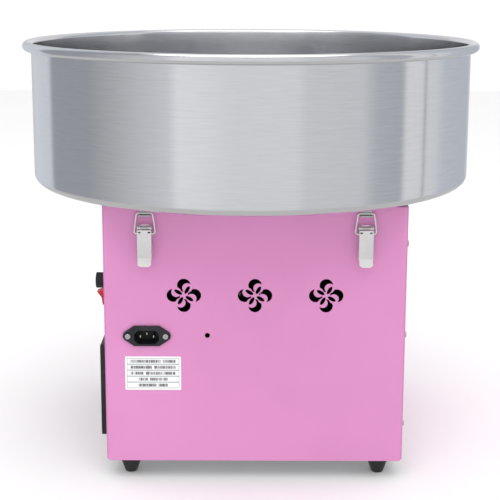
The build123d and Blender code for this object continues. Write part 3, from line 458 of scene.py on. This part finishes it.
def studio_world():
    """Even white room."""
    world = bpy.data.worlds.new("studio")
    scene.world = world
    world.use_nodes = True
    background = world.node_tree.nodes["Background"]
    background.inputs["Color"].default_value = (1.0, 1.0, 1.0, 1.0)
    background.inputs["Strength"].default_value = 1.02


def light_card(card, colours):
    """Emission in the card's own colours, one RGBA for each point, seen only by shiny surfaces."""
    lights = card.data.color_attributes.new("card_light", "FLOAT_COLOR", "POINT")
    lights.data.foreach_set("color", np.ravel(colours))
    material = bpy.data.materials.new("card_glow")
    material.use_nodes = True
    tree = material.node_tree
    tree.nodes.clear()
    light = tree.nodes.new("ShaderNodeAttribute")
    light.attribute_name = "card_light"
    glow = tree.nodes.new("ShaderNodeEmission")
    output = tree.nodes.new("ShaderNodeOutputMaterial")
    tree.links.new(light.outputs["Color"], glow.inputs["Color"])
    tree.links.new(glow.outputs[0], output.inputs["Surface"])
    card.data.materials.append(material)
    card.visible_camera = False
    card.visible_diffuse = False
    card.visible_shadow = False
    card.visible_transmission = False


# The ring's cards: first and last azimuth in degrees from the +X axis, the brightness at each of
# these ends, and how cool the light is. Between two cards the light runs evenly from one to the other.
studio_cards = {
    "back": (-180, -165, 0.80, 0.85, 0.3),
    "back_flag": (-150, -145, 0.62, 0.65, 0.6),
    "back_left": (-135, -113, 0.75, 0.75, 0.9),
    "left_flag": (-109, -80, 0.40, 0.40, 1.0),
    "left_wash": (-70, -36, 0.47, 0.75, 0.5),
    "key": (-32, -20, 0.93, 0.90, 0.3),
    "front": (-8, 20, 0.83, 0.83, 0.3),
    "right_wash": (24, 50, 0.74, 0.71, 0.4),
    "right_flag": (58, 72, 0.55, 0.50, 0.9),
    "right_side": (75, 86, 0.84, 0.82, 0.3),
    "joint": (87.5, 87.6, 0.40, 0.40, 0.5),
    "far_side": (89, 97, 0.80, 0.76, 0.5),
    "cool_side": (104, 140, 0.65, 0.55, 1.1),
    "back_right": (152, 180, 0.80, 0.80, 0.3),
}


def card_ring(distance=1.1, height=2.4, columns=1440, dimming=0.95):
    """Upright studio cards all round the machine, in one ring whose brightness changes with azimuth.

    Point (i, j) lies at distance times (cos a_j, sin a_j) and at height h_i. Only the shine of the
    metal sees the ring: it casts no shadow and hides nothing.
    """
    rows = 3
    bottom = 0.001
    cool_tint = (-0.05, -0.01, 0.08)
    a = np.radians(np.linspace(-180, 180, columns, endpoint=False))[None, :]
    h = np.linspace(bottom, height, rows)[:, None]
    points = np.stack([distance * np.cos(a) + 0 * h, distance * np.sin(a) + 0 * h, h + 0 * a], axis=-1)
    ring = put_mesh("card_ring", points.reshape(-1, 3), grid_faces(rows, columns, False, True))
    edges = np.array([
        edge
        for first, last, first_level, last_level, cool in studio_cards.values()
        for edge in ((first, first_level, cool), (last, last_level, cool))
    ])
    azimuth = np.degrees(np.tile(a.ravel(), rows))
    level = np.interp(azimuth, edges[:, 0], edges[:, 1])
    cool = np.interp(azimuth, edges[:, 0], edges[:, 2])
    channels = [dimming * level * (1 + tint * cool) for tint in cool_tint]
    light_card(ring, np.column_stack([*channels, np.ones_like(level)]))


def floor_card(level=0.60, distance=1.1, above=0.0004):
    """Level square just over the floor, so that the metal sees a softer floor than the camera does."""
    points = [(x, y, above) for x in (-distance, distance) for y in (-distance, distance)]
    card = put_mesh("floor_card", np.array(points), np.array([[0, 2, 3, 1]]))
    light_card(card, [level] * 4 * len(points))


def softbox(name, place, target, size, power):
    """A large area light at place, facing target."""
    light = bpy.data.lights.new(name, "AREA")
    light.shape = "RECTANGLE"
    light.size, light.size_y = size
    light.energy = power
    obj = bpy.data.objects.new(name, light)
    obj.location = place
    obj.rotation_mode = "QUATERNION"
    obj.rotation_quaternion = (Vector(target) - Vector(place)).to_track_quat("-Z", "Y")
    scene.collection.objects.link(obj)


def studio_camera():
    """Camera in front of the inlet side, a little above the rim, tipped down, with a falling front."""
    camera = bpy.data.cameras.new("camera")
    camera.sensor_width = 36.0
    camera.lens = 78.5
    camera.shift_y = -0.15
    camera.clip_end = 50.0
    obj = bpy.data.objects.new("camera", camera)
    obj.location = (1.268, -0.0007, 0.5368)
    tip = 0.1788
    roll = 0.0032
    facing = Euler((math.pi / 2 - tip, 0.0, math.pi / 2)).to_matrix()
    obj.rotation_euler = (facing @ Matrix.Rotation(roll, 3, "Z")).to_euler()
    scene.collection.objects.link(obj)
    bpy.context.scene.camera = obj


floor_plane(4.0)
studio_world()
card_ring()
floor_card()
softbox("top_light", (0.9, 0.0, 2.4), (0.0, 0.0, 0.3), (2.4, 2.4), 26.0)
scene.view_settings.view_transform = "Standard"
studio_camera()
